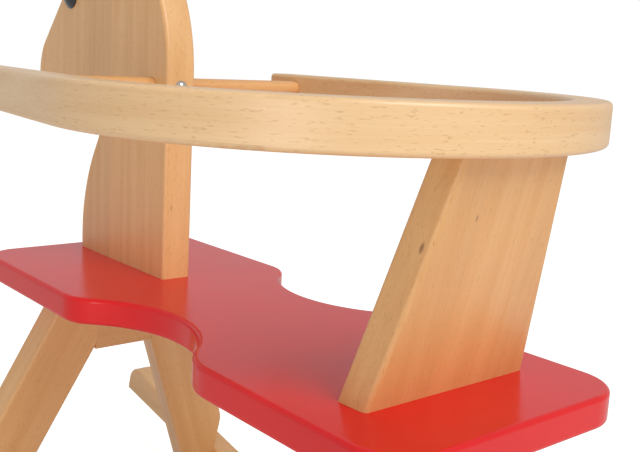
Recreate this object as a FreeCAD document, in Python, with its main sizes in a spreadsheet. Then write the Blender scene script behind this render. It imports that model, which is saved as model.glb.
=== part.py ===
import FreeCAD, Part
import math
import os
import Sketcher
from FreeCAD import Placement, Rotation, Vector

# Wooden toddler rocking horse: board head, round handle, safety ring with
# back support, waisted red seat, two splayed leg frames on curved rockers.
# Millimetres, +Z up, floor at Z = 0, nose towards +X, symmetric about Y = 0.

os.makedirs("parts", exist_ok=True)
doc = FreeCAD.newDocument("rocking_horse")
sheet = doc.addObject("Spreadsheet::Sheet", "dims")

DIMENSIONS = {
    # seat board
    "seat_top": 278.0,
    "seat_thick": 20.0,
    "seat_front": 252.5,
    "seat_rear": 263.0,
    "seat_half": 98.0,
    "seat_front_round": 27.0,
    "seat_rear_round": 32.0,
    "waist_x": -6.0,
    "waist_half": 56.7,
    "waist_round": 94.0,
    "waist_front_round": 32.0,
    "waist_rear_round": 46.0,
    "board_round": 3.0,
    # head board, outline corners measured on the side view
    "board_thick": 25.0,
    "head_rear": 89.0,
    "head_front": 236.0,
    "nape_x": 87.5,
    "nape_z": 500.0,
    "nape_round": 130.0,
    "poll_x": 138.0,
    "poll_z": 543.0,
    "poll_round": 12.0,
    "ear_x": 149.0,
    "ear_z": 597.0,
    "ear_round": 8.0,
    "forelock_x": 174.0,
    "forelock_z": 566.0,
    "forelock_round": 18.0,
    "brow_x": 222.0,
    "brow_z": 557.0,
    "brow_round": 50.0,
    "nose_x": 328.0,
    "nose_top_z": 449.5,
    "nose_round": 45.0,
    "chin_z": 400.0,
    "chin_round": 22.0,
    "throat_x": 183.0,
    "throat_z": 414.0,
    "throat_round": 20.0,
    "chest_z": 333.0,
    "chest_round": 150.0,
    # eyes
    "eye_x": 258.0,
    "eye_z": 503.0,
    "eye_radius": 12.5,
    "eye_dome": 5.0,
    "eye_peg_radius": 4.0,
    "eye_peg_length": 8.0,
    # handle and its locking bolt
    "handle_x": 112.0,
    "handle_z": 431.0,
    "handle_radius": 6.0,
    "handle_sunk": 14.0,
    "bolt_radius": 3.0,
    "bolt_head_radius": 5.0,
    "bolt_head_height": 3.2,
    "bolt_depth": 26.0,
    "socket_flats": 4.0,
    # safety ring
    "ring_bottom": 415.9,
    "ring_height": 26.6,
    "ring_rear": 260.0,
    "ring_radius": 176.0,
    "ring_width": 24.0,
    "arm_toe_in": 6.5,
    "arm_front": 147.0,
    "arm_round": 7.0,
    # back support
    "support_rear": 208.0,
    "support_thick": 22.0,
    "support_lean": 14.4,
    "support_base_half": 65.0,
    "support_top_half": 42.0,
    # leg frames
    "frame_x": 159.2,
    "frame_lean": 15.8,
    "leg_splay": 22.0,
    "leg_width": 52.0,
    "crossbar_half": 27.3,
    "crossbar_depth": 58.5,
    "leg_bottom": 30.0,
    # rockers
    "rocker_inner": 128.0,
    "rocker_thick": 22.0,
    "rocker_radius": 1100.0,
    "rocker_height": 32.0,
    "rocker_low_x": 11.2,
    "rocker_half": 405.0,
    "rocker_end_lean": 8.0,
    "rocker_end_round": 18.0,
    "stop_start": 313.0,
    "tip_z": 59.0,
    "top_straight": 235.0,
    # hidden fixings
    "fit_gap": 0.3,
    "pin_radius": 4.0,
    "pin_in_seat": 12.0,
    "pin_in_frame": 24.0,
    "ring_pin_drop": 20.0,
    "ring_pin_radius": 2.5,
    "side_pin_reach": 18.0,
    "screw_radius": 2.5,
    "screw_head_radius": 4.5,
    "screw_head_height": 3.5,
    "screw_length": 45.0,
    "nut_radius": 5.0,
    "nut_length": 16.0,
    "joint_z": 42.0,
    "joint_y": 112.0,
    "joint_bolt_depth": 44.0,
}
for row, (alias, value) in enumerate(DIMENSIONS.items(), 1):
    sheet.set("A%d" % row, alias)
    sheet.set("B%d" % row, str(value))
    sheet.setAlias("B%d" % row, alias)
doc.recompute()


def dim(alias):
    """Value of one driving dimension."""
    return float(sheet.get(alias))


def evaluate(text):
    """Value of a sheet expression, used for the first guess of a sketch."""
    return float(sheet.evalExpression(text))


# ---------------------------------------------------------------- helpers

def new_body(label):
    body = doc.addObject("PartDesign::Body", label)
    body.Label = label
    return body


def new_sketch(body, name, plane):
    """Sketch laid flat on one of the body's own origin planes."""
    sketch = body.newObject("Sketcher::SketchObject", name)
    feature = [f for f in body.Origin.OriginFeatures if f.Role == plane][0]
    sketch.AttachmentSupport = [(feature, "")]
    sketch.MapMode = "FlatFace"
    return sketch


def pin_point(sketch, item, end, name, across, along):
    """Hold one sketch point at two sheet-driven distances from the origin."""
    for kind, text, tag in (("DistanceX", across, "x"), ("DistanceY", along, "y")):
        value = evaluate(text)
        index = sketch.addConstraint(Sketcher.Constraint(kind, -1, 1, item, end, value))
        sketch.renameConstraint(index, name + "_" + tag)
        sketch.setExpression("Constraints." + name + "_" + tag, text)


def left_handed_arc(start, through, finish):
    """Anticlockwise arc over three points, and whether it runs backwards."""
    circle = Part.Arc(start, through, finish).toShape().Curve
    middle = Vector(circle.Center.x, circle.Center.y, 0)
    first, between, last = [math.atan2(p.y - middle.y, p.x - middle.x)
                            for p in (start, through, finish)]
    full = 2 * math.pi
    flipped = (between - first) % full > (last - first) % full
    if flipped:
        first, last = last, first
    if last < first:
        last += full
    whole = Part.Circle(middle, Vector(0, 0, 1), circle.Radius)
    return Part.ArcOfCircle(whole, first, last), flipped


def outline(body, name, plane, corners, arcs=None):
    """Closed outline through sheet-driven corners. arcs maps a side to the
    axis and distance of its arc's centre and a point the arc passes through;
    every other side is straight."""
    arcs = arcs or {}
    sketch = new_sketch(body, name, plane)
    places = [Vector(evaluate(a), evaluate(b), 0) for a, b in corners]
    count = len(places)
    ends = []
    for side in range(count):
        start = places[side]
        finish = places[(side + 1) % count]
        if side in arcs:
            axis, centre, middle = arcs[side]
            through = Vector(evaluate(middle[0]), evaluate(middle[1]), 0)
            curve, flipped = left_handed_arc(start, through, finish)
            item = sketch.addGeometry(curve, False)
            ends.append((item, 2, 1) if flipped else (item, 1, 2))
            index = sketch.addConstraint(
                Sketcher.Constraint("Distance" + axis, -1, 1, item, 3, evaluate(centre)))
            sketch.renameConstraint(index, "arc_%d" % side)
            sketch.setExpression("Constraints.arc_%d" % side, centre)
        else:
            item = sketch.addGeometry(Part.LineSegment(start, finish), False)
            ends.append((item, 1, 2))
    for side in range(count):
        item, first, last = ends[side]
        following = ends[(side + 1) % count]
        sketch.addConstraint(
            Sketcher.Constraint("Coincident", item, last, following[0], following[1]))
        pin_point(sketch, item, first, "p%d" % side, corners[side][0], corners[side][1])
    doc.recompute()
    return sketch


def circles(body, name, plane, centres, radius):
    """Sheet-driven circles of one radius."""
    sketch = new_sketch(body, name, plane)
    for number, (across, along) in enumerate(centres):
        place = Vector(evaluate(across), evaluate(along), 0)
        item = sketch.addGeometry(Part.Circle(place, Vector(0, 0, 1), evaluate(radius)), False)
        index = sketch.addConstraint(Sketcher.Constraint("Radius", item, evaluate(radius)))
        sketch.renameConstraint(index, "radius_%d" % number)
        sketch.setExpression("Constraints.radius_%d" % number, radius)
        pin_point(sketch, item, 3, "c%d" % number, across, along)
    doc.recompute()
    return sketch


def pad(body, name, sketch, length, both=False):
    feature = body.newObject("PartDesign::Pad", name)
    feature.Profile = sketch
    feature.setExpression("Length", length)
    if both:
        feature.SideType = "Symmetric"
    doc.recompute()
    return feature


def pocket(body, name, sketch, length=None, both=False):
    """Cut a sketch out, on the side of its plane where there is material."""
    before = body.Shape.Volume
    feature = body.newObject("PartDesign::Pocket", name)
    feature.Profile = sketch
    if length is None:
        feature.Type = "ThroughAll"
    else:
        feature.setExpression("Length", length)
    if both:
        feature.SideType = "Symmetric"
    doc.recompute()
    if not feature.isValid() or body.Shape.Volume > before - 1.0:
        feature.Reversed = True
        doc.recompute()
    if body.Shape.Volume > before - 1.0:
        raise RuntimeError(name + " removes nothing")
    return feature


def bore(body, name, radius, length, place, turn):
    """Round hole from a place in the body, along its own turned Z."""
    before = body.Shape.Volume
    feature = body.newObject("PartDesign::SubtractiveCylinder", name)
    feature.setExpression("Radius", radius)
    feature.setExpression("Height", length)
    feature.MapMode = "Deactivated"
    feature.Placement = Placement(Vector(0, 0, 0), turn)
    for axis, text in zip("xyz", place):
        feature.setExpression("Placement.Base." + axis, text)
    doc.recompute()
    if body.Shape.Volume > before - 1.0:
        raise RuntimeError(name + " removes nothing")
    return feature


def revolve(body, name, sketch, axis):
    feature = body.newObject("PartDesign::Revolution", name)
    feature.Profile = sketch
    feature.ReferenceAxis = (sketch, [axis])
    feature.Angle = 360
    doc.recompute()
    return feature


def edges_where(shape, test):
    """Names of the edges whose middle point and direction pass a test."""
    names = []
    for number, edge in enumerate(shape.Edges, 1):
        middle = edge.valueAt((edge.FirstParameter + edge.LastParameter) / 2)
        run = edge.valueAt(edge.LastParameter) - edge.valueAt(edge.FirstParameter)
        if test(edge, middle, run):
            names.append("Edge%d" % number)
    return names


def fillet(body, name, base, names, radius):
    if not names:
        raise RuntimeError(name + " finds no edge")
    feature = body.newObject("PartDesign::Fillet", name)
    feature.Base = (base, names)
    feature.setExpression("Radius", radius)
    doc.recompute()
    return feature


def corner_round(body, name, base, axis, place, radius):
    """Round the one edge that runs along an axis through a given place."""
    skip = "XYZ".index(axis)

    def test(edge, middle, run):
        along = abs(run[skip]) > 0.99 * run.Length > 1.0
        near = all(abs(middle[i] - place[i]) < 0.3 for i in range(3) if i != skip)
        return along and near

    return fillet(body, name, base, edges_where(base.Shape, test), radius)


def rim_round(body, name, base, axis, levels, radius):
    """Round every edge that lies in one of the given levels of an axis."""
    index = "XYZ".index(axis)

    def test(edge, middle, run):
        box = edge.BoundBox
        low = (box.XMin, box.YMin, box.ZMin)[index]
        high = (box.XMax, box.YMax, box.ZMax)[index]
        return any(abs(low - v) < 0.01 and abs(high - v) < 0.01 for v in levels)

    return fillet(body, name, base, edges_where(base.Shape, test), radius)


def mirror(source, label, normal):
    feature = doc.addObject("Part::Mirroring", label)
    feature.Label = label
    feature.Source = source
    feature.Normal = normal
    feature.Base = Vector(0, 0, 0)
    doc.recompute()
    return feature


def group(label, members):
    feature = doc.addObject("Part::Compound", label)
    feature.Label = label
    feature.Links = members
    doc.recompute()
    return feature


def rod(name, radius, length):
    """Round bar standing on its own origin, along its own Z."""
    bar = doc.addObject("Part::Cylinder", name)
    bar.setExpression("Radius", radius)
    bar.setExpression("Height", length)
    return bar


def put(thing, x="0", y="0", z="0", turn=None):
    """Place an object with sheet-driven coordinates."""
    if turn:
        thing.Placement = Placement(Vector(0, 0, 0), turn)
    thing.setExpression("Placement.Base.x", x)
    thing.setExpression("Placement.Base.y", y)
    thing.setExpression("Placement.Base.z", z)
    doc.recompute()


X_AXIS = Vector(1, 0, 0)
Y_AXIS = Vector(0, 1, 0)
ALONG_X = Rotation(Y_AXIS, 90)
ALONG_Y = Rotation(X_AXIS, -90)
UNDERSIDE = "(dims.seat_top - dims.seat_thick)"
GAP = "dims.fit_gap"

SCREW_TIP = "(" + UNDERSIDE + " + 1 + dims.screw_head_height + dims.screw_length)"

# Hidden fixing positions: glued pins between leg frames and seat, screws
# from below into the head board and the back support, pins under the ring.
FRAME_PIN_X = "(dims.frame_x + 16)"
CROSSBAR_PIN_Y = "(dims.crossbar_half / 2)"
LEG_PIN_Y = "(dims.crossbar_half + 14)"
HEAD_SCREW_X = ("(dims.head_rear + 35)", "(dims.head_front - 35)")
SUPPORT_SCREW_X = "(-dims.support_rear + 9)"
SUPPORT_SCREW_Y = "(dims.support_base_half / 2)"
RING_PIN_X = ("(-dims.support_rear + 5.1 - (dims.ring_bottom - dims.seat_top)"
              " * tan(dims.support_lean))")
RING_PIN_Y = "(dims.support_top_half * 0.71)"


# ------------------------------------------------------------------- seat
# One solid board with a rounded outline, waisted for the rider's legs.

seat = new_body("seat")
plan = outline(seat, "seat_plan", "XY_Plane", [
    ("-dims.seat_rear", "-dims.seat_half"),
    ("dims.seat_front", "-dims.seat_half"),
    ("dims.seat_front", "dims.seat_half"),
    ("-dims.seat_rear", "dims.seat_half")])
board = pad(seat, "seat_board", plan, "dims.seat_thick")
waist = circles(seat, "waist_circles", "XY_Plane", [
    ("dims.waist_x", "dims.waist_half + dims.waist_round"),
    ("dims.waist_x", "-dims.waist_half - dims.waist_round")], "dims.waist_round")
board = pocket(seat, "seat_waist", waist)
spread = math.sqrt(dim("waist_round") ** 2
                   - (dim("waist_half") + dim("waist_round") - dim("seat_half")) ** 2)
SEAT_CORNERS = (
    ("seat_front_corner", dim("seat_front"), "dims.seat_front_round"),
    ("seat_rear_corner", -dim("seat_rear"), "dims.seat_rear_round"),
    ("waist_front_corner", dim("waist_x") + spread, "dims.waist_front_round"),
    ("waist_rear_corner", dim("waist_x") - spread, "dims.waist_rear_round"))
for name, place, radius in SEAT_CORNERS:
    names = edges_where(board.Shape, lambda e, m, r: abs(r.z) > 5 and abs(m.x - place) < 0.3)
    board = fillet(seat, name, board, names, radius)
board = rim_round(seat, "seat_rims", board, "Z", (0.0, dim("seat_thick")), "dims.board_round")
pin_spots = [(sign_x + FRAME_PIN_X, sign_y + pin_y)
             for sign_x in ("", "-") for sign_y in ("", "-")
             for pin_y in (CROSSBAR_PIN_Y, LEG_PIN_Y)]
holes = circles(seat, "frame_pin_holes", "XY_Plane", pin_spots, "dims.pin_radius + " + GAP)
pocket(seat, "frame_pin_sockets", holes, "dims.pin_in_seat + " + GAP)
screw_spots = [(x, "0") for x in HEAD_SCREW_X]
screw_spots += [(SUPPORT_SCREW_X, sign + SUPPORT_SCREW_Y) for sign in ("", "-")]
holes = circles(seat, "screw_holes", "XY_Plane", screw_spots, "dims.screw_radius + " + GAP)
pocket(seat, "screw_ways", holes)
holes = circles(seat, "screw_head_holes", "XY_Plane", screw_spots,
                "dims.screw_head_radius + " + GAP)
pocket(seat, "screw_head_ways", holes, "dims.screw_head_height + 1")
put(seat, z=UNDERSIDE)

# ------------------------------------------------------------- head board
# Thick plank sawn to a horse's head and neck, standing on the seat.

HEAD_ROUNDS = ("nape", "poll", "ear", "forelock", "brow")
head = new_body("head_board")
side = outline(head, "head_side", "XZ_Plane", [
    ("dims.head_rear", "dims.seat_top"),
    ("dims.nape_x", "dims.nape_z"),
    ("dims.poll_x", "dims.poll_z"),
    ("dims.ear_x", "dims.ear_z"),
    ("dims.forelock_x", "dims.forelock_z"),
    ("dims.brow_x", "dims.brow_z"),
    ("dims.nose_x", "dims.nose_top_z"),
    ("dims.nose_x", "dims.chin_z"),
    ("dims.throat_x", "dims.throat_z"),
    ("dims.head_front", "dims.chest_z"),
    ("dims.head_front", "dims.seat_top")])
plank = pad(head, "head_plank", side, "dims.board_thick", both=True)
for name in HEAD_ROUNDS:
    spot = (dim(name + "_x"), 0, dim(name + "_z"))
    plank = corner_round(head, name + "_corner", plank, "Y", spot, "dims." + name + "_round")
MORE_ROUNDS = (
    ("nose", dim("nose_x"), dim("nose_top_z")),
    ("chin", dim("nose_x"), dim("chin_z")),
    ("throat", dim("throat_x"), dim("throat_z")),
    ("chest", dim("head_front"), dim("chest_z")))
for name, x, z in MORE_ROUNDS:
    spot = (x, 0, z)
    plank = corner_round(head, name + "_corner", plank, "Y", spot, "dims." + name + "_round")
half = dim("board_thick") / 2


def head_rim(edge, middle, run):
    box = edge.BoundBox
    flat = box.YMax - box.YMin < 0.01 and abs(abs(middle.y) - half) < 0.01
    return flat and box.ZMax > dim("seat_top") + 0.1


plank = fillet(head, "head_rims", plank, edges_where(plank.Shape, head_rim), "dims.board_round")
hole = circles(head, "handle_hole", "XZ_Plane", [("dims.handle_x", "dims.handle_z")],
               "dims.handle_radius + " + GAP)
pocket(head, "handle_way", hole, "dims.board_thick + 2", both=True)
hole = circles(head, "eye_holes", "XZ_Plane", [("dims.eye_x", "dims.eye_z")],
               "dims.eye_peg_radius + " + GAP)
pocket(head, "eye_sockets", hole, "dims.board_thick + 2", both=True)
hole = circles(head, "bolt_hole", "YZ_Plane", [("0", "dims.handle_z")],
               "dims.bolt_radius + " + GAP)
pocket(head, "bolt_way", hole, "dims.handle_x")
for number, x in enumerate(HEAD_SCREW_X):
    hole = circles(head, "head_screw_hole_%d" % number, "XY_Plane", [(x, "0")],
                   "dims.screw_radius + " + GAP)
    pocket(head, "head_screw_way_%d" % number, hole, SCREW_TIP + " + 1")

# ------------------------------------------------------------------- eyes
# Turned buttons with a domed face, each on a short peg in the head board.

eye = new_body("eye_left")
dome_middle_x = "dims.eye_radius * sin(45)"
dome_swell = "(dims.eye_radius^2 + dims.eye_dome^2) / (2 * dims.eye_dome)"
dome_mid = "sqrt((" + dome_swell + ")^2 - (dims.eye_radius / 2)^2) - (" + dome_swell + ") + dims.eye_dome"
profile = outline(eye, "eye_profile", "XZ_Plane", [
    ("0", "-dims.eye_peg_length"),
    ("dims.eye_peg_radius", "-dims.eye_peg_length"),
    ("dims.eye_peg_radius", "0"),
    ("dims.eye_radius", "0"),
    ("dims.eye_radius", "0.8"),
    ("0", "dims.eye_dome + 0.8")],
    {4: ("Y", "dims.eye_dome + 0.8 - " + dome_swell, ("dims.eye_radius / 2", dome_mid + " + 0.8"))})
revolve(eye, "eye_turning", profile, "V_Axis")
put(eye, "dims.eye_x", "dims.board_thick / 2", "dims.eye_z", ALONG_Y)
eye_right = mirror(eye, "eye_right", Y_AXIS)

# ----------------------------------------------------------------- handle
# Round dowel through the head board, its ends sunk in both ring arms.

TOE = "tan(dims.arm_toe_in)"
RING_CENTRE = "(dims.ring_radius - dims.ring_rear)"
OUTER_TANGENT = ("(" + RING_CENTRE + " + dims.ring_radius * sin(dims.arm_toe_in))",
                 "(dims.ring_radius * cos(dims.arm_toe_in))")
INNER = "(dims.ring_radius - dims.ring_width)"
INNER_TANGENT = ("(" + RING_CENTRE + " + " + INNER + " * sin(dims.arm_toe_in))",
                 "(" + INNER + " * cos(dims.arm_toe_in))")
ARM_INSIDE = ("(" + INNER_TANGENT[1] + " - (dims.handle_x - " + INNER_TANGENT[0] + ") * "
              + TOE + ")")
HANDLE_HALF = "(" + ARM_INSIDE + " + dims.handle_sunk)"
handle = new_body("handle")
end = circles(handle, "handle_section", "XY_Plane", [("0", "0")], "dims.handle_radius")
bar = pad(handle, "handle_bar", end, "2 * " + HANDLE_HALF, both=True)
hole = circles(handle, "handle_bolt_hole", "YZ_Plane", [("0", "0")],
               "dims.bolt_radius + " + GAP)
pocket(handle, "handle_bolt_way", hole, "2 * dims.handle_radius + 2", both=True)
put(handle, "dims.handle_x", "0", "dims.handle_z", ALONG_Y)

# Domed bolt driven into the rear edge of the head board to lock the handle.


def domed_bolt(label, depth):
    """Button-headed bolt with a hexagon socket, shank down its own -Z."""
    body = new_body(label)
    dome = "((dims.bolt_head_radius^2 + dims.bolt_head_height^2) / (2 * dims.bolt_head_height))"
    dome_z = "sqrt(" + dome + "^2 - (dims.bolt_head_radius / 2)^2) - " + dome
    profile = outline(body, label + "_profile", "XZ_Plane", [
        ("0", "-" + depth),
        ("dims.bolt_radius", "-" + depth),
        ("dims.bolt_radius", "0"),
        ("dims.bolt_head_radius", "0"),
        ("0", "dims.bolt_head_height")],
        {3: ("Y", "dims.bolt_head_height - " + dome,
             ("dims.bolt_head_radius / 2", dome_z + " + dims.bolt_head_height"))})
    revolve(body, label + "_turning", profile, "V_Axis")
    hexagon = [("dims.socket_flats / sqrt(3) * cos(%d)" % turn,
                "dims.socket_flats / sqrt(3) * sin(%d)" % turn) for turn in range(0, 360, 60)]
    socket = outline(body, label + "_socket", "XY_Plane", hexagon)
    pocket(body, label + "_socket_cut", socket, "dims.bolt_head_height")
    return body


bolt = domed_bolt("handle_bolt", "dims.bolt_depth")
EDGE_X = "(dims.head_rear + (dims.nape_x - dims.head_rear) * (dims.handle_z - dims.seat_top)"
EDGE_X += " / (dims.nape_z - dims.seat_top))"
put(bolt, EDGE_X, "0", "dims.handle_z", Rotation(Y_AXIS, -90))

# ------------------------------------------------------------ safety ring
# Board sawn to a round-backed U whose arms close in slightly to the front.

ring = new_body("safety_ring")


def arm_y(tangent):
    return "(" + tangent[1] + " - (dims.arm_front - " + tangent[0] + ") * " + TOE + ")"


def negative(text):
    return "-" + text


plan = outline(ring, "ring_plan", "XY_Plane", [
    ("dims.arm_front", arm_y(OUTER_TANGENT)),
    OUTER_TANGENT,
    (OUTER_TANGENT[0], negative(OUTER_TANGENT[1])),
    ("dims.arm_front", negative(arm_y(OUTER_TANGENT))),
    ("dims.arm_front", negative(arm_y(INNER_TANGENT))),
    (INNER_TANGENT[0], negative(INNER_TANGENT[1])),
    INNER_TANGENT,
    ("dims.arm_front", arm_y(INNER_TANGENT))],
    {1: ("X", RING_CENTRE, ("-dims.ring_rear", "0")),
     5: ("X", RING_CENTRE, (RING_CENTRE + " - " + INNER, "0"))})
band = pad(ring, "ring_band", plan, "dims.ring_height")
names = edges_where(band.Shape,
                    lambda e, m, r: abs(r.z) > 5 and abs(m.x - dim("arm_front")) < 0.3)
band = fillet(ring, "arm_corners", band, names, "dims.arm_round")
rim_round(ring, "ring_rims", band, "Z", (0.0, dim("ring_height")), "dims.board_round")
hole = circles(ring, "ring_handle_hole", "XZ_Plane",
               [("dims.handle_x", "dims.handle_z - dims.ring_bottom")],
               "dims.handle_radius + " + GAP)
pocket(ring, "ring_handle_way", hole, "2 * " + HANDLE_HALF + " + 1", both=True)
leaning = Rotation(Y_AXIS, -dim("support_lean"))
for number, sign in enumerate(("", "-")):
    bore(ring, "ring_pin_way_%d" % number, "dims.ring_pin_radius + " + GAP,
         "dims.pin_in_seat + 2 + " + GAP,
         (RING_PIN_X + " + 2 * sin(dims.support_lean)", sign + RING_PIN_Y,
          "-2 * cos(dims.support_lean)"), leaning)
put(ring, z="dims.ring_bottom")

# ----------------------------------------------------------- back support
# Tapered board leaning back from the seat to the underside of the ring.

RISE = "((dims.ring_bottom - dims.seat_top) / cos(dims.support_lean))"
TAPER = "((dims.support_base_half - dims.support_top_half) / " + RISE + ")"
support = new_body("back_support")
front = outline(support, "support_face", "YZ_Plane", [
    ("-dims.support_base_half - 10 * " + TAPER, "-10"),
    ("dims.support_base_half + 10 * " + TAPER, "-10"),
    ("dims.support_top_half - 10 * " + TAPER, RISE + " + 10"),
    ("-dims.support_top_half + 10 * " + TAPER, RISE + " + 10")])
slab = pad(support, "support_slab", front, "dims.support_thick")
long_edges = edges_where(slab.Shape, lambda e, m, r: abs(r.z) > 50)
slab = fillet(support, "support_edges", slab, long_edges, "dims.board_round")
SLOPE = "tan(dims.support_lean)"
trim = outline(support, "support_trim_base", "XZ_Plane", [
    ("-30", "30 * " + SLOPE),
    ("-30", "-40"),
    ("60", "-40"),
    ("60", "-60 * " + SLOPE)])
pocket(support, "support_base_bevel", trim, "400", both=True)
trim = outline(support, "support_trim_top", "XZ_Plane", [
    ("-30", RISE + " + 30 * " + SLOPE),
    ("60", RISE + " - 60 * " + SLOPE),
    ("60", RISE + " + 40"),
    ("-30", RISE + " + 40")])
pocket(support, "support_top_bevel", trim, "400", both=True)

S_LEAN = "dims.support_lean"
upright = Rotation(Y_AXIS, dim("support_lean"))


def in_support(x, z):
    """World position turned into the leaning board's own X and Z."""
    run = "(" + x + " + dims.support_rear)"
    rise = "(" + z + " - dims.seat_top)"
    return (run + " * cos(" + S_LEAN + ") + " + rise + " * sin(" + S_LEAN + ")",
            rise + " * cos(" + S_LEAN + ") - " + run + " * sin(" + S_LEAN + ")")


for number, sign in enumerate(("", "-")):
    x, z = in_support(SUPPORT_SCREW_X, "dims.seat_top - 5")
    bore(support, "support_screw_way_%d" % number, "dims.screw_radius + " + GAP,
         SCREW_TIP + " - dims.seat_top + 6", (x, sign + SUPPORT_SCREW_Y, z), upright)
    x, z = in_support(RING_PIN_X, "dims.ring_bottom")
    bore(support, "ring_pin_way_%d" % number, "dims.ring_pin_radius + " + GAP,
         "dims.ring_pin_drop + 8",
         (x, sign + RING_PIN_Y, z + " - dims.ring_pin_drop - " + GAP), Rotation())
put(support, "-dims.support_rear", "0", "dims.seat_top", leaning)

# -------------------------------------------------------------- leg frames
# Front frame: two splayed legs butted against a crossbar, all in one plane
# that leans forward. The rear frame is the same frame turned round.

LEAN = "dims.frame_lean"
DEPTH = "(dims.crossbar_depth / cos(" + LEAN + "))"
SPLAY = "tan(dims.leg_splay)"
WIDE = "(dims.leg_width / cos(dims.leg_splay))"
FOOT = "((" + UNDERSIDE + " - dims.leg_bottom) / cos(" + LEAN + ")"
FOOT += " + dims.board_thick * tan(" + LEAN + "))"
EXTRA = "12"
LEAN_SLOPE = "tan(" + LEAN + ")"
frame_turn = Rotation(Y_AXIS, -dim("frame_lean"))


def level_cut(body, name, height):
    """Trim a leaning board level with the floor, above a given height."""
    sketch = outline(body, name + "_sketch", "XZ_Plane", [
        ("-10", height + " + 10 * " + LEAN_SLOPE),
        ("40", height + " - 40 * " + LEAN_SLOPE),
        ("40", height + " + 60"),
        ("-10", height + " + 60")])
    return pocket(body, name, sketch, "600", both=True)


leg = new_body("front_leg_left")
face = outline(leg, "leg_face", "YZ_Plane", [
    ("dims.crossbar_half", EXTRA),
    ("dims.crossbar_half", "-" + DEPTH),
    ("dims.crossbar_half + (" + FOOT + " - " + DEPTH + ") * " + SPLAY, "-" + FOOT),
    ("dims.rocker_inner", "-" + FOOT),
    ("dims.rocker_inner",
     "-" + DEPTH + " - (dims.rocker_inner - dims.crossbar_half - " + WIDE + ") / " + SPLAY),
    ("dims.crossbar_half + " + WIDE + " - (" + DEPTH + " + " + EXTRA + ") * " + SPLAY, EXTRA)])
slab = pad(leg, "leg_slab", face, "dims.board_thick")
thick = dim("board_thick")


def leg_rim(edge, middle, run):
    """Long splayed edges and the outer upright edge, not the joint faces."""
    in_face = abs(run.x) < 0.01 and run.Length > 30
    joint = abs(middle.y - dim("crossbar_half")) < 0.5 or abs(run.z) < 1
    return in_face and not joint and abs(middle.y - dim("rocker_inner")) > 0.5


slab = fillet(leg, "leg_edges", slab, edges_where(slab.Shape, leg_rim), "dims.board_round")
level_cut(leg, "leg_top_bevel", "0")
foot_cut = outline(leg, "leg_foot_sketch", "XZ_Plane", [
    ("-10", "-(" + UNDERSIDE + " - dims.leg_bottom) / cos(" + LEAN + ") + 10 * " + LEAN_SLOPE),
    ("40", "-(" + UNDERSIDE + " - dims.leg_bottom) / cos(" + LEAN + ") - 40 * " + LEAN_SLOPE),
    ("40", "-400"),
    ("-10", "-400")])
pocket(leg, "leg_foot_bevel", foot_cut, "600", both=True)
JOINT_DROP = "((" + UNDERSIDE + " - dims.joint_z) / cos(" + LEAN + ")"
JOINT_DROP += " + dims.board_thick / 2 * tan(" + LEAN + "))"
hole = circles(leg, "nut_hole", "YZ_Plane", [("dims.joint_y", "-" + JOINT_DROP)],
               "dims.nut_radius + " + GAP)
pocket(leg, "nut_way", hole, "(dims.board_thick + dims.nut_length) / 2 + " + GAP)
JOINT_REACH = "(dims.rocker_inner + dims.rocker_thick - dims.joint_bolt_depth)"
bore(leg, "leg_bolt_way", "dims.bolt_radius + " + GAP,
     "dims.rocker_inner - " + JOINT_REACH + " + 3",
     ("dims.board_thick / 2", JOINT_REACH + " - 1", "-" + JOINT_DROP), ALONG_Y)
SIDE_PIN_DROP = "(" + DEPTH + " * 0.62)"
hole = circles(leg, "leg_side_pin_hole", "XZ_Plane",
               [("dims.board_thick / 2", "-" + SIDE_PIN_DROP)], "dims.pin_radius + " + GAP)
pocket(leg, "leg_side_pin_way", hole,
       "2 * (dims.crossbar_half + dims.side_pin_reach + " + GAP + ")", both=True)


def frame_pin_bore(body, name, y):
    """Upright hole in the leaning board for a pin up into the seat."""
    run = "(" + FRAME_PIN_X + " - dims.frame_x)"
    fall = "(dims.pin_in_frame + " + GAP + ")"
    x = run + " * cos(" + LEAN + ") - " + fall + " * sin(" + LEAN + ")"
    z = "-" + fall + " * cos(" + LEAN + ") - " + run + " * sin(" + LEAN + ")"
    bore(body, name, "dims.pin_radius + " + GAP, fall + " + 12", (x, y, z),
         Rotation(Y_AXIS, dim("frame_lean")))


frame_pin_bore(leg, "leg_pin_way", LEG_PIN_Y)
put(leg, "dims.frame_x", "0", UNDERSIDE, frame_turn)

crossbar = new_body("front_crossbar")
face = outline(crossbar, "crossbar_face", "YZ_Plane", [
    ("-dims.crossbar_half", "-" + DEPTH + " - 1.5"),
    ("dims.crossbar_half", "-" + DEPTH + " - 1.5"),
    ("dims.crossbar_half", EXTRA),
    ("-dims.crossbar_half", EXTRA)])
pad(crossbar, "crossbar_slab", face, "dims.board_thick")
level_cut(crossbar, "crossbar_top_bevel", "0")
hole = circles(crossbar, "crossbar_pin_hole", "XZ_Plane",
               [("dims.board_thick / 2", "-" + SIDE_PIN_DROP)], "dims.pin_radius + " + GAP)
pocket(crossbar, "crossbar_pin_way", hole, "2 * dims.crossbar_half + 2", both=True)
for number, sign in enumerate(("", "-")):
    frame_pin_bore(crossbar, "crossbar_seat_pin_way_%d" % number, sign + CROSSBAR_PIN_Y)
put(crossbar, "dims.frame_x", "0", UNDERSIDE, frame_turn)

leg_right = mirror(leg, "front_leg_right", Y_AXIS)
rear_left = mirror(leg, "rear_leg_left", X_AXIS)
rear_right = mirror(leg_right, "rear_leg_right", X_AXIS)
rear_crossbar = mirror(crossbar, "rear_crossbar", X_AXIS)

# ---------------------------------------------------------------- rockers
# Long curved runner with a flatter stop at each end, outside the legs.

ARC_Z = "(dims.rocker_radius - sqrt(dims.rocker_radius^2 - ({0})^2))"
TOP_R = "(dims.rocker_radius - dims.rocker_height)"
TOP_Z = "(dims.rocker_radius - sqrt(" + TOP_R + "^2 - ({0})^2))"
REACH = "dims.top_straight"


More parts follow.
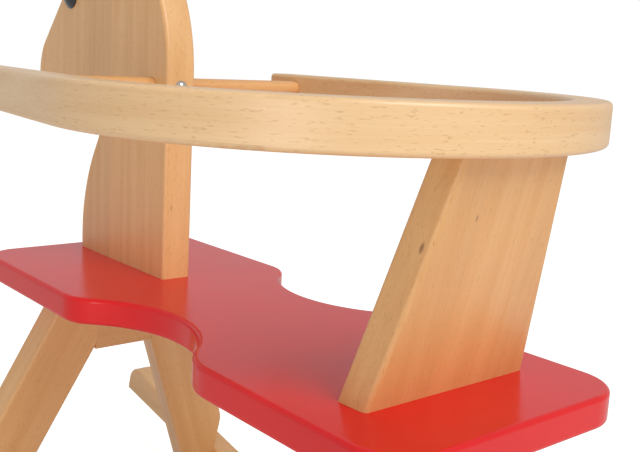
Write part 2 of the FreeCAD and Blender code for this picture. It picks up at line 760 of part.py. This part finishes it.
def low(x):
    return ARC_Z.format(x + " - dims.rocker_low_x")


def high(x):
    return TOP_Z.format(x + " - dims.rocker_low_x")


def top_end(sign):
    """Where the straight end of the top edge meets the leaning end cut."""
    reach = "(" + sign + REACH + " - dims.rocker_low_x)"
    slope = "(" + reach + " / sqrt(" + TOP_R + "^2 - " + reach + "^2))"
    across = "(dims.rocker_half - dims.rocker_end_lean - dims.top_straight)"
    return high(sign + REACH) + " + " + sign + across + " * " + slope


END_X = "(dims.rocker_half - dims.rocker_end_lean)"
rocker = new_body("rocker_left")
side = outline(rocker, "rocker_side", "XZ_Plane", [
    ("-dims.rocker_half", "dims.tip_z"),
    ("-dims.stop_start", low("-dims.stop_start")),
    ("dims.stop_start", low("dims.stop_start")),
    ("dims.rocker_half", "dims.tip_z"),
    (END_X, top_end("")),
    (REACH, high(REACH)),
    ("-" + REACH, high("-" + REACH)),
    ("-" + END_X, top_end("-"))],
    {1: ("Y", "dims.rocker_radius", ("dims.rocker_low_x", "0")),
     5: ("Y", "dims.rocker_radius", ("dims.rocker_low_x", "dims.rocker_height"))})
runner = pad(rocker, "rocker_board", side, "dims.rocker_thick")
tops = edges_where(runner.Shape, lambda e, m, r: abs(r.y) > 5 and abs(m.x) > 380 and m.z > 80)
runner = fillet(rocker, "rocker_ends", runner, tops, "dims.rocker_end_round")
levels = (0.0, -dim("rocker_thick"))
runner = rim_round(rocker, "rocker_rims", runner, "Y", levels, "dims.board_round")
JOINT_X = ("(dims.frame_x + (" + UNDERSIDE + " - dims.joint_z) * " + LEAN_SLOPE
           + " + dims.board_thick / 2 / cos(" + LEAN + "))")
hole = circles(rocker, "rocker_bolt_holes", "XZ_Plane",
               [(JOINT_X, "dims.joint_z"), ("-" + JOINT_X, "dims.joint_z")],
               "dims.bolt_radius + " + GAP)
pocket(rocker, "rocker_bolt_ways", hole, None)
put(rocker, "0", "dims.rocker_inner + dims.rocker_thick", "0")
rocker_right = mirror(rocker, "rocker_right", Y_AXIS)
doc.recompute()

# ---------------------------------------------------------- hidden fixings
# Beech pins glued between the boards, steel screws from under the seat, and
# button-headed bolts into barrel nuts where the legs meet the rockers.

pins = []
for number, (x, y) in enumerate(pin_spots):
    pin = rod("frame_pin_%d" % number, "dims.pin_radius", "dims.pin_in_frame + dims.pin_in_seat")
    put(pin, x, y, UNDERSIDE + " - dims.pin_in_frame")
    pins.append(pin)
frame_pins = group("frame_pins", pins)

pins = []
for number, sign in enumerate(("", "-")):
    pin = rod("ring_pin_%d" % number, "dims.ring_pin_radius",
              "dims.ring_pin_drop + dims.pin_in_seat")
    put(pin, RING_PIN_X + " + dims.ring_pin_drop * sin(dims.support_lean)", sign + RING_PIN_Y,
        "dims.ring_bottom - dims.ring_pin_drop * cos(dims.support_lean)", leaning)
    pins.append(pin)
ring_pins = group("ring_pins", pins)

# One long pin runs right through each crossbar into both legs.
SIDE_HALF = "(dims.crossbar_half + dims.side_pin_reach)"
side_pin = rod("side_pin_front", "dims.pin_radius", "2 * " + SIDE_HALF)
put(side_pin,
    "dims.frame_x + dims.board_thick / 2 * cos(" + LEAN + ") + " + SIDE_PIN_DROP
    + " * sin(" + LEAN + ")",
    "-" + SIDE_HALF,
    UNDERSIDE + " + dims.board_thick / 2 * sin(" + LEAN + ") - " + SIDE_PIN_DROP
    + " * cos(" + LEAN + ")", ALONG_Y)
side_pins = group("crossbar_pins", [side_pin, mirror(side_pin, "side_pin_rear", X_AXIS)])


def screws(label, spots):
    """Round-headed wood screws pointing up from the recesses in the seat."""
    members = []
    for number, (x, y) in enumerate(spots):
        body = new_body(label + "_%d" % number)
        profile = outline(body, body.Name + "_profile", "XZ_Plane", [
            ("0", "0"),
            ("dims.screw_head_radius", "0"),
            ("dims.screw_head_radius", "dims.screw_head_height"),
            ("dims.screw_radius", "dims.screw_head_height"),
            ("dims.screw_radius", "dims.screw_head_height + dims.screw_length - 5"),
            ("0", "dims.screw_head_height + dims.screw_length")])
        revolve(body, body.Name + "_turning", profile, "V_Axis")
        put(body, x, y, UNDERSIDE + " + 1")
        members.append(body)
    return group(label, members)


head_screws = screws("head_screws", screw_spots[:2])
support_screws = screws("support_screws", screw_spots[2:])

joint_bolt = domed_bolt("joint_bolt", "dims.joint_bolt_depth")
put(joint_bolt, JOINT_X, "dims.rocker_inner + dims.rocker_thick", "dims.joint_z", ALONG_Y)
nut = new_body("joint_nut")
section = circles(nut, "nut_section", "YZ_Plane", [("dims.joint_y", "-" + JOINT_DROP)],
                  "dims.nut_radius")
pad(nut, "nut_bar", section, "dims.nut_length", both=True)
hole = circles(nut, "nut_thread_hole", "XZ_Plane", [("0", "-" + JOINT_DROP)],
               "dims.bolt_radius + " + GAP)
pocket(nut, "nut_thread", hole, "4 * dims.joint_y", both=True)
put(nut, "dims.frame_x + dims.board_thick / 2 * cos(" + LEAN + ")", "0",
    UNDERSIDE + " + dims.board_thick / 2 * sin(" + LEAN + ")", frame_turn)


def four(label, source):
    """The same fixing at all four leg joints."""
    across = mirror(source, label + "_right", Y_AXIS)
    return group(label, [source, across, mirror(source, label + "_rear_left", X_AXIS),
                         mirror(across, label + "_rear_right", X_AXIS)])


rocker_bolts = four("rocker_bolts", joint_bolt)
barrel_nuts = four("barrel_nuts", nut)
doc.recompute()

# ------------------------------------------------------------------ export
NODES = (seat, head, eye, eye_right, handle, bolt, ring, support, leg, leg_right,
         rear_left, rear_right, crossbar, rear_crossbar, rocker, rocker_right, frame_pins,
         ring_pins, side_pins, head_screws, support_screws, rocker_bolts, barrel_nuts)
for thing in doc.Objects:
    if "Invalid" in thing.State or "Error" in thing.State:
        raise RuntimeError(thing.Label + " is not valid")
for thing in NODES:
    shape = thing.Shape
    if shape.isNull() or not shape.isValid():
        raise RuntimeError(thing.Label + " has a bad shape")
    shape.exportStep("parts/" + thing.Label + ".step")
    print(thing.Label, len(shape.Solids), round(shape.Volume))
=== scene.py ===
import math
from functools import partial

import bpy
from mathutils import Matrix, Vector


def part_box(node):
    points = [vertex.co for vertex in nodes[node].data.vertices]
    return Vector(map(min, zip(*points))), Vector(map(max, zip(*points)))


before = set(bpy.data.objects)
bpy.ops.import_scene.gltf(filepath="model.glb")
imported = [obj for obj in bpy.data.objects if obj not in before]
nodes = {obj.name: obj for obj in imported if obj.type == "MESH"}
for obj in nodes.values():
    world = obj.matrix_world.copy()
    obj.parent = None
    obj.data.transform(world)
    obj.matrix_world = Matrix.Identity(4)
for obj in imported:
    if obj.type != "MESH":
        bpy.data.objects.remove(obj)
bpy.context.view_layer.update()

# ---------------------------------------------------------------------- seat
# One solid beech board sawn to a waisted outline with its rims rounded over.
# It is sprayed with several coats of red lacquer, rubbed down between coats,
# and screwed to the boards above it from underneath.


def srgb(text):
    """Linear colour with alpha from an sRGB hex value such as C81420."""
    parts = [int(text[i:i + 2], 16) / 255 for i in (0, 2, 4)]
    linear = [p / 12.92 if p <= 0.04045 else ((p + 0.055) / 1.055) ** 2.4 for p in parts]
    return (*linear, 1.0)


def add(tree, kind, inputs=None, **settings):
    """Adds one node, sets it, and fills its inputs from values or outputs."""
    made = tree.nodes.new(kind)
    for name, value in settings.items():
        setattr(made, name, value)
    for key, value in (inputs or {}).items():
        if isinstance(value, bpy.types.NodeSocket):
            tree.links.new(value, made.inputs[key])
        else:
            made.inputs[key].default_value = value
    return made


def new_finish(name):
    """Empty node material and its node tree."""
    finish = bpy.data.materials.new(name)
    finish.use_nodes = True
    finish.node_tree.nodes.clear()
    return finish, finish.node_tree


def dress(node_name, finish, crease_degrees=35):
    """Gives a CAD node its finish and lets its rounded rims shade smoothly."""
    thing = nodes[node_name]
    thing.data.materials.clear()
    thing.data.materials.append(finish)
    bpy.context.view_layer.objects.active = thing
    for other in bpy.context.selected_objects:
        other.select_set(False)
    thing.select_set(True)
    bpy.ops.object.shade_smooth_by_angle(angle=math.radians(crease_degrees))
    thing.select_set(False)


# Red acrylic lacquer over sanded beech: a deep saturated base under a clear
# semi-gloss skin with a slight orange peel, 6 mm across, and rare dust nibs.
LACQUER_RED = "E40A10"
LACQUER_DEEP = "D40910"
PEEL_MM = 6.0
CLOUD_MM = 70.0
NIB_MM = 1.1
NIB_APART_MM = 24.0

lacquer, tree = new_finish("red_lacquer")
place = add(tree, "ShaderNodeTexCoord")
in_mm = add(tree, "ShaderNodeMapping", {"Vector": place.outputs["Object"],
                                        "Scale": (1000, 1000, 1000)})
peel = add(tree, "ShaderNodeTexNoise", {"Vector": in_mm.outputs[0], "Scale": 1 / PEEL_MM,
                                        "Detail": 2.0, "Roughness": 0.5})
cloud = add(tree, "ShaderNodeTexNoise", {"Vector": in_mm.outputs[0], "Scale": 1 / CLOUD_MM,
                                         "Detail": 2.0})
nib = add(tree, "ShaderNodeTexVoronoi", {"Vector": in_mm.outputs[0],
                                         "Scale": 1 / NIB_APART_MM})
nib_edge = add(tree, "ShaderNodeMapRange", {"Value": nib.outputs["Distance"],
                                            "From Min": 0.0, "From Max": NIB_MM / NIB_APART_MM,
                                            "To Min": 1.0, "To Max": 0.0})
tone = add(tree, "ShaderNodeMix", {0: cloud.outputs[0], "A": srgb(LACQUER_DEEP),
                                   "B": srgb(LACQUER_RED)}, data_type="RGBA")
height = add(tree, "ShaderNodeMath", {0: peel.outputs[0], 1: nib_edge.outputs[0]},
             operation="ADD")
skin = add(tree, "ShaderNodeBump", {"Height": height.outputs[0], "Strength": 0.10,
                                    "Distance": 0.0004})
rubbed = add(tree, "ShaderNodeMapRange", {"Value": cloud.outputs[0], "To Min": 0.17,
                                          "To Max": 0.26})
shader = add(tree, "ShaderNodeBsdfPrincipled", {
    "Base Color": tone.outputs["Result"], "Roughness": rubbed.outputs[0], "IOR": 1.49,
    "Normal": skin.outputs[0]})
add(tree, "ShaderNodeOutputMaterial", {"Surface": shader.outputs[0]})
dress("seat", lacquer)

# ---------------------------------------------------------------- head board
# Thick plank of edge-glued beech staves sawn to a horse's head and neck, the
# rims rounded over. Clear satin lacquer leaves the grain to be seen. The
# staves run upright, and the board stands on the seat on two screws.

BEECH_PALE = "F0CEA0"
BEECH_WARM = "DDAE78"
BEECH_RAY = "B98753"
BEECH_KNOT = "7A4A28"
STAVE_MM = 48.0
RING_MM = 5.5
STREAK_MM = 1.3
RAY_MM = 0.9
STAVE_SHIFT_MM = 900.0
KNOT_SLIMNESS = 2.6


def board_axes(along, across):
    """Square axes of a board: across its face, through it, along its grain."""
    along = Vector(along).normalized()
    across = (Vector(across) - Vector(across).dot(along) * along).normalized()
    return Matrix((across, along.cross(across), along))


def straight(tree, along, across):
    """Place on a straight board, in millimetres along the board's own axes."""
    board = board_axes(along, across)
    place = add(tree, "ShaderNodeTexCoord")
    turned = add(tree, "ShaderNodeMapping", {"Vector": place.outputs["Object"],
                                             "Rotation": board.to_euler("XYZ"),
                                             "Scale": (1000, 1000, 1000)})
    return add(tree, "ShaderNodeSeparateXYZ", {0: turned.outputs[0]}).outputs


def beech(name, axes, start_mm=0.0, tone_and_light_tint="FFFFFF", stave_tone=0.05, knots=()):
    """Clear-lacquered beech, its grain laid along the last of three axes.

    Staves lie side by side across it; growth rings show as long soft bands,
    with fine streaks inside them and the short brown dashes beech is known by.
    A knot is a place in millimetres and its half length along the grain.
    The tint is painted light and shade on lacquered parts, and the wood's own
    paler tone on bare ones.
    """
    finish, tree = new_finish(name)
    wide, thick, long = axes(tree)
    shifted = add(tree, "ShaderNodeMath", {0: wide, 1: start_mm}, operation="ADD")
    count = add(tree, "ShaderNodeMath", {0: shifted.outputs[0], 1: STAVE_MM},
                operation="DIVIDE")
    stave = add(tree, "ShaderNodeMath", {0: count.outputs[0]}, operation="FLOOR")
    own = add(tree, "ShaderNodeTexWhiteNoise", {"W": stave.outputs[0]}, noise_dimensions="1D")
    jump = add(tree, "ShaderNodeMath", {0: own.outputs["Value"], 1: STAVE_SHIFT_MM},
               operation="MULTIPLY")
    moved = add(tree, "ShaderNodeMath", {0: wide, 1: jump.outputs[0]}, operation="ADD")

    def stretched(across_mm, along_mm, detail, rough):
        """Noise drawn out along the grain, its sizes given in millimetres."""
        vector = add(tree, "ShaderNodeCombineXYZ", {0: moved.outputs[0], 1: thick, 2: long})
        sized = add(tree, "ShaderNodeMapping", {
            "Vector": vector.outputs[0],
            "Scale": (1 / across_mm, 1 / across_mm, 1 / along_mm)})
        return add(tree, "ShaderNodeTexNoise", {
            "Vector": sized.outputs[0], "Scale": 1.0, "Detail": detail, "Roughness": rough})

    rings = stretched(RING_MM * 2, 260.0, 3.0, 0.55)
    streaks = stretched(STREAK_MM, 70.0, 4.0, 0.6)
    rays = stretched(RAY_MM, 5.0, 1.0, 0.5)
    band = add(tree, "ShaderNodeMapRange", {"Value": rings.outputs[0], "From Min": 0.3,
                                            "From Max": 0.7})
    fine = add(tree, "ShaderNodeMapRange", {"Value": streaks.outputs[0], "From Min": 0.25,
                                            "From Max": 0.75})
    body = add(tree, "ShaderNodeMath", {0: band.outputs[0], 1: 0.5, 2: 0.12},
               operation="MULTIPLY_ADD")
    both = add(tree, "ShaderNodeMath", {0: fine.outputs[0], 1: 0.32, 2: body.outputs[0]},
               operation="MULTIPLY_ADD")
    grain = add(tree, "ShaderNodeMix", {0: both.outputs[0], "A": srgb(BEECH_PALE),
                                        "B": srgb(BEECH_WARM)}, data_type="RGBA")
    dash = add(tree, "ShaderNodeMapRange", {"Value": rays.outputs[0], "From Min": 0.62,
                                            "From Max": 0.74, "To Max": 0.42})
    rayed = add(tree, "ShaderNodeMix", {0: dash.outputs[0], "A": grain.outputs["Result"],
                                        "B": srgb(BEECH_RAY)}, data_type="RGBA")
    value = add(tree, "ShaderNodeMapRange", {"Value": own.outputs["Value"],
                                             "To Min": 1 - stave_tone, "To Max": 1 + stave_tone})
    staved = add(tree, "ShaderNodeHueSaturation", {"Color": rayed.outputs["Result"],
                                                   "Value": value.outputs[0]})
    # The tint is multiplied in here: painted light and shade that lighten or darken each
    # lacquered part to how lit it looks; on the bare pins it is their own paler tone.
    tone_and_light_mix = add(tree, "ShaderNodeMix", {0: 1.0, "A": staved.outputs[0], "B": srgb(tone_and_light_tint)},
               data_type="RGBA", blend_type="MULTIPLY")
    colour = tone_and_light_mix.outputs["Result"]
    here = add(tree, "ShaderNodeCombineXYZ", {0: wide, 1: thick, 2: long})
    slim = KNOT_SLIMNESS
    for centre, half in knots:
        spot = board_axes(**axes.keywords) @ Vector(centre)
        apart = add(tree, "ShaderNodeVectorMath", {0: here.outputs[0], 1: spot},
                    operation="SUBTRACT")
        squeezed = add(tree, "ShaderNodeVectorMath", {0: apart.outputs[0],
                                                      1: (slim / half, slim / half, 1 / half)},
                       operation="MULTIPLY")
        away = add(tree, "ShaderNodeVectorMath", {0: squeezed.outputs[0]}, operation="LENGTH")
        mark = add(tree, "ShaderNodeMapRange", {"Value": away.outputs["Value"],
                                                "From Min": 0.55, "From Max": 1.25,
                                                "To Min": 0.72, "To Max": 0.0})
        shown = add(tree, "ShaderNodeMix", {0: mark.outputs[0], "A": colour,
                                            "B": srgb(BEECH_KNOT)}, data_type="RGBA")
        colour = shown.outputs["Result"]
    relief = add(tree, "ShaderNodeMath", {0: fine.outputs[0], 1: dash.outputs[0]},
                 operation="SUBTRACT")
    surface = add(tree, "ShaderNodeBump", {"Height": relief.outputs[0], "Strength": 0.12,
                                           "Distance": 0.0003})
    gloss = add(tree, "ShaderNodeMapRange", {"Value": band.outputs[0], "To Min": 0.40,
                                             "To Max": 0.50})
    shader = add(tree, "ShaderNodeBsdfPrincipled", {
        "Base Color": colour, "Roughness": gloss.outputs[0], "IOR": 1.5,
        "Coat Weight": 0.55, "Coat Roughness": 0.32, "Normal": surface.outputs[0]})
    add(tree, "ShaderNodeOutputMaterial", {"Surface": shader.outputs[0]})
    return finish


upright = partial(straight, along=(0, 0, 1), across=(1, 0, 0))
KNOT_AT = (87.6, 6.3, 336.0)
dress("head_board", beech("clear_lacquered_beech_head", upright, 12.0, "FBEBD2",
                          knots=[(KNOT_AT, 3.2)]))

# ---------------------------------------------------------------------- eyes
# Turned wooden buttons with a domed face, dipped in black enamel with a
# trace of blue, and glued into the head board by a short peg.

# Enamel is nearly black, with a sharp gloss that catches small highlights.
ENAMEL_RUN_MM = 6.25
enamel, tree = new_finish("black_enamel")
place = add(tree, "ShaderNodeTexCoord")
run = add(tree, "ShaderNodeTexNoise", {"Vector": place.outputs["Object"],
                                       "Scale": 1000 / ENAMEL_RUN_MM})
depth = add(tree, "ShaderNodeMix", {0: run.outputs[0], "A": srgb("06080F"),
                                    "B": srgb("0D1220")}, data_type="RGBA")
shader = add(tree, "ShaderNodeBsdfPrincipled", {
    "Base Color": depth.outputs["Result"], "Roughness": 0.12, "IOR": 1.52,
    "Coat Weight": 0.5, "Coat Roughness": 0.06})
add(tree, "ShaderNodeOutputMaterial", {"Surface": shader.outputs[0]})
for name in ("eye_left", "eye_right"):
    dress(name, enamel)

# -------------------------------------------------------------------- handle
# Beech dowel pushed through the head board, its ends sunk in the ring arms.
# Grain runs along the dowel, and its lacquer leaves it slightly warmer.

sideways = partial(straight, along=(0, 1, 0), across=(1, 0, 0))
dress("handle", beech("turned_beech_handle", sideways, 5.0, "FBE4C4"))

# --------------------------------------------------------------- handle bolt
# Button-headed steel bolt, zinc plated, driven into the rear edge of the
# head board until it locks the dowel. The other bolts, screws and barrel nuts
# are of the same steel and stay out of sight or lie flush.

# Zinc plate is a pale bright grey, with fine patches more or less polished.
POLISH_PATCH_MM = 1000 / 900
zinc, tree = new_finish("zinc_plated_steel")
place = add(tree, "ShaderNodeTexCoord")
spin = add(tree, "ShaderNodeTexNoise", {"Vector": place.outputs["Object"],
                                        "Scale": 1000 / POLISH_PATCH_MM, "Detail": 3.0})
bright = add(tree, "ShaderNodeMix", {0: spin.outputs[0], "A": srgb("A9ACAE"),
                                     "B": srgb("D2D3D2")}, data_type="RGBA")
worn = add(tree, "ShaderNodeMapRange", {"Value": spin.outputs[0], "To Min": 0.20,
                                        "To Max": 0.34})
shader = add(tree, "ShaderNodeBsdfPrincipled", {
    "Base Color": bright.outputs["Result"], "Metallic": 1.0, "Roughness": worn.outputs[0]})
add(tree, "ShaderNodeOutputMaterial", {"Surface": shader.outputs[0]})
for name in ("handle_bolt", "rocker_bolts", "head_screws", "support_screws", "barrel_nuts"):
    dress(name, zinc, 30)

# --------------------------------------------------------------- safety ring
# Flat U of beech, rounded over on every rim, its grain following the curve
# round the back and along both arms. It lies on the back support, and the
# dowel ends sit in its arms.

ring_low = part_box("safety_ring")[0]
RING_RADIUS_MM = 176.0
RING_CENTRE_MM = ring_low[0] * 1000 + RING_RADIUS_MM
JUST_BEHIND_MM = -0.01


def round_the_back(tree):
    """Place on the ring, in millimetres up, out from its middle, and round it."""
    place = add(tree, "ShaderNodeTexCoord")
    sized = add(tree, "ShaderNodeMapping", {"Vector": place.outputs["Object"],
                                            "Location": (-RING_CENTRE_MM, 0, 0),
                                            "Scale": (1000, 1000, 1000)})
    parts = add(tree, "ShaderNodeSeparateXYZ", {0: sized.outputs[0]})
    forward, leftward, upward = parts.outputs
    behind = add(tree, "ShaderNodeMath", {0: forward, 1: JUST_BEHIND_MM}, operation="MINIMUM")
    ahead = add(tree, "ShaderNodeMath", {0: forward, 1: 0.0}, operation="MAXIMUM")
    flat = add(tree, "ShaderNodeCombineXYZ", {0: behind.outputs[0], 1: leftward})
    out = add(tree, "ShaderNodeVectorMath", {0: flat.outputs[0]}, operation="LENGTH")
    turn = add(tree, "ShaderNodeMath", {0: behind.outputs[0], 1: leftward},
               operation="ARCTAN2")
    arc = add(tree, "ShaderNodeMath", {0: turn.outputs[0], 1: RING_RADIUS_MM},
              operation="MULTIPLY")
    side = add(tree, "ShaderNodeMath", {0: leftward}, operation="SIGN")
    arm = add(tree, "ShaderNodeMath", {0: ahead.outputs[0], 1: side.outputs[0]},
              operation="MULTIPLY")
    round_it = add(tree, "ShaderNodeMath", {0: arc.outputs[0], 1: arm.outputs[0]},
                   operation="ADD")
    return upward, out.outputs["Value"], round_it.outputs[0]


# Left untinted, so paler than the other beech parts: painted sheen.
dress("safety_ring", beech("bent_grain_beech", round_the_back, 20.0, stave_tone=0.0))

# -------------------------------------------------------------- back support
# Tapered beech board that leans back from the seat to the ring, its grain
# running up the board, screwed from below and pinned to the ring.

LEAN_BACK = math.radians(14.4)
up_the_board = (-math.sin(LEAN_BACK), 0, math.cos(LEAN_BACK))
leaning = partial(straight, along=up_the_board, across=(0, 1, 0))
FLECKS = [((-225.6, 50.3, 368.5), 3.4), ((-234.4, 20.9, 383.0), 2.4)]
# Its darker, warmer tint is painted shade on this backward-leaning board.
dress("back_support", beech("clear_lacquered_beech_support", leaning, 30.0, "F8E2C2",
                            knots=FLECKS))

# ---------------------------------------------------------------- leg frames
# Two splayed beech legs butt against a short crossbar and make a flat frame.
# One frame leans forward and one leans back under the seat, glued on pins.

LEAN = math.radians(15.8)
SPLAY = math.radians(22.0)
for end, forward in (("front", 1), ("rear", -1)):
    for side, outward in (("left", 1), ("right", -1)):
        grain = (forward * math.sin(LEAN) * math.cos(SPLAY), outward * math.sin(SPLAY),
                 -math.cos(LEAN) * math.cos(SPLAY))
        width = (0, math.cos(SPLAY), outward * math.sin(SPLAY))
        name = end + "_leg_" + side
        start = 10.0 + 17 * forward + 9 * outward
        down_the_leg = partial(straight, along=grain, across=width)
        dress(name, beech("clear_lacquered_beech_" + name, down_the_leg, start, "FAE8CE"))
    across = (forward * math.sin(LEAN), 0, -math.cos(LEAN))
    crosswise = partial(straight, along=(0, 1, 0), across=across)
    dress(end + "_crossbar", beech("clear_lacquered_beech_" + end + "_crossbar", crosswise, 3.0,
                                  "FAE8CE"))

# ------------------------------------------------------------------- rockers
# Long beech runners sawn to a curve, with a flatter stop at each end that
# slows a deep swing. Grain runs from end to end; one bolt holds each leg.

for side, start in (("left", 14.0), ("right", 33.0)):
    lengthwise = partial(straight, along=(1, 0, 0), across=(0, 0, 1))
    # Their paler tint is painted light on runners that sit in the seat's shade.
    dress("rocker_" + side, beech("clear_lacquered_beech_rocker_" + side, lengthwise, start,
                                  "FFF4E4"))

# ---------------------------------------------------------------------- pins
# Turned beech pins glued in the joints between seat, legs, crossbars, ring
# and support. They stay out of sight in the finished horse.

bare = beech("bare_beech", upright, 0.0, "FFF8EE")
for name in ("frame_pins", "ring_pins", "crossbar_pins"):
    dress(name, bare)

# -------------------------------------------------------------------- studio
# Pale floor, two soft boxes and an even white surround. The floor is lifted,
# and the surround dimmed for all but the camera, so the ground stays white.

scene = bpy.context.scene
scene.view_settings.view_transform = "Standard"
scene.view_settings.look = "None"

sweep = bpy.data.meshes.new("floor")
REACH = 12.0
FLOOR_LIFT = 0.6
sweep.from_pydata([(-REACH, -REACH, 0), (REACH, -REACH, 0), (REACH, REACH, 0),
                   (-REACH, REACH, 0)], [], [(0, 1, 2, 3)])
floor = bpy.data.objects.new("floor", sweep)
scene.collection.objects.link(floor)
# Matt paper, barely clouded, so that nothing shows but the soft shadows.
paper, tree = new_finish("floor_paper")
place = add(tree, "ShaderNodeTexCoord")
fibre = add(tree, "ShaderNodeTexNoise", {"Vector": place.outputs["Object"], "Scale": 3.0})
pale = add(tree, "ShaderNodeMix", {0: fibre.outputs[0], "A": srgb("F6F6F5"),
                                   "B": srgb("FAFAF9")}, data_type="RGBA")
path = add(tree, "ShaderNodeLightPath")
lift = add(tree, "ShaderNodeMath", {0: path.outputs["Is Camera Ray"], 1: FLOOR_LIFT},
           operation="MULTIPLY")
shader = add(tree, "ShaderNodeBsdfPrincipled", {
    "Base Color": pale.outputs["Result"], "Roughness": 0.9,
    "Emission Color": (1, 1, 1, 1), "Emission Strength": lift.outputs[0]})
add(tree, "ShaderNodeOutputMaterial", {"Surface": shader.outputs[0]})
sweep.materials.append(paper)

SURROUND = 1.02
DIFFUSE_DIM = 0.52
GLOSSY_DIM = 0.40
world = bpy.data.worlds.new("white_surround")
scene.world = world
world.use_nodes = True
tree = world.node_tree
tree.nodes.clear()
path = add(tree, "ShaderNodeLightPath")
dimmed = add(tree, "ShaderNodeMath", {0: path.outputs["Is Diffuse Ray"], 1: -DIFFUSE_DIM,
                                      2: SURROUND}, operation="MULTIPLY_ADD")
bright = add(tree, "ShaderNodeMath", {0: path.outputs["Is Glossy Ray"], 1: -GLOSSY_DIM,
                                      2: dimmed.outputs[0]}, operation="MULTIPLY_ADD")
glow = add(tree, "ShaderNodeBackground", {"Color": (1, 1, 1, 1),
                                          "Strength": bright.outputs[0]})
add(tree, "ShaderNodeOutputWorld", {"Surface": glow.outputs[0]})


def soft_box(name, where, aim, size, watts, colour="FFFFFF"):
    """Square area light at a place, facing a point, both in metres."""
    lamp = bpy.data.lights.new(name, "AREA")
    lamp.shape = "SQUARE"
    lamp.size = size
    lamp.energy = watts
    lamp.color = srgb(colour)[:3]
    thing = bpy.data.objects.new(name, lamp)
    thing.location = where
    turn = Vector(aim) - Vector(where)
    thing.rotation_euler = turn.to_track_quat("-Z", "Y").to_euler()
    scene.collection.objects.link(thing)


soft_box("key_box", (-1.9, -0.1, 2.1), (0, 0, 0.3), 1.3, 34.0, "FFFDF8")
soft_box("low_box", (-1.3, 1.7, 0.38), (0.2, -0.1, 0.08), 0.7, 6.5, "FFFCF8")

# Camera behind the horse's left shoulder, a little above the ring.
CAMERA_AT = (-0.5359, 0.3801, 0.4600)
HEADING = -0.70269
DOWN = 0.18243
ROLL = 0.05101
FOCAL_MM = 51.76
ahead = Vector((math.cos(DOWN) * math.cos(HEADING), math.cos(DOWN) * math.sin(HEADING),
                -math.sin(DOWN)))
level = Vector((math.sin(HEADING), -math.cos(HEADING), 0))
above = level.cross(ahead)
right = math.cos(ROLL) * level + math.sin(ROLL) * above
top = -math.sin(ROLL) * level + math.cos(ROLL) * above
lens = bpy.data.cameras.new("camera")
lens.lens = FOCAL_MM
lens.sensor_width = 36.0
lens.clip_start = 0.01
camera = bpy.data.objects.new("camera", lens)
frame_axes = Matrix((right, top, -ahead)).transposed().to_4x4()
frame_axes.translation = Vector(CAMERA_AT)
camera.matrix_world = frame_axes
scene.collection.objects.link(camera)
scene.camera = camera
